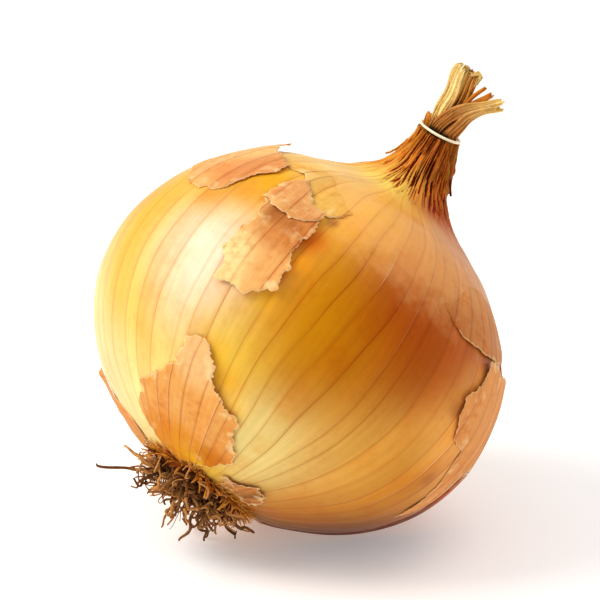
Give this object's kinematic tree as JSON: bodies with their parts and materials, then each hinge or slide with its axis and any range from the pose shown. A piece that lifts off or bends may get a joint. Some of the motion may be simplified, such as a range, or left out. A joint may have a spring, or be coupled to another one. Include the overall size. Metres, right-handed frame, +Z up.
{
  "type": "onion",
  "caption": "Whole yellow onion lying on its side, with a dried leaf stub in its ringed neck, torn papery skins and a tuft of dry roots.",
  "frame": {"origin": "middle of the small flat spot under the bulb that the onion rests on", "axes": "+Z up from the surface it rests on; the onion's own axis lies in the XZ plane with the neck towards +X and up, the roots towards -X; +Y is the side away from the loose front skins"},
  "size_m": [0.0825, 0.0846, 0.0908],
  "materials": {
    "bulb_skin": "thin, tight onion skin over pale flesh: satin, cream and yellow at the top side to orange-brown at the front",
    "paper_skin": "dry, torn papery onion skin with fine lengthwise veins, matt",
    "root": "dry fibrous roots, rough and matt",
    "dry_leaf": "dried leaf bases, pale straw with brown grooves, matt",
    "ring": "cream fibre, matt"
  },
  "bodies": {
    "root": {"bulb": "bulb_skin", "root_plate": "root", "neck_ring": "ring", "root_01": "root", "root_02": "root", "root_03": "root", "root_04": "root", "root_05": "root", "root_06": "root", "root_07": "root", "root_08": "root", "root_09": "root", "root_10": "root", "root_11": "root", "root_12": "root", "root_13": "root", "root_14": "root", "root_15": "root", "root_16": "root", "root_17": "root", "root_18": "root", "root_19": "root", "root_20": "root", "root_21": "root", "root_22": "root", "root_23": "root", "root_24": "root", "root_25": "root", "root_26": "root", "root_27": "root", "root_28": "root", "root_29": "root", "root_30": "root", "top_flake": "paper_skin", "front_flake": "paper_skin", "root_fan": "paper_skin", "left_sliver": "paper_skin", "root_flake": "paper_skin", "upper_right_skin": "paper_skin", "lower_right_skin": "paper_skin", "far_side_skin": "paper_skin", "underside_skin": "paper_skin", "back_flake": "paper_skin", "rear_root_flake": "paper_skin", "neck_shred_left": "paper_skin", "neck_shred_right": "paper_skin", "tall_leaf": "dry_leaf", "bent_leaf": "dry_leaf", "thin_strand": "dry_leaf", "wide_strand": "dry_leaf", "collar_leaf": "dry_leaf"}
  },
  "joints": []
}
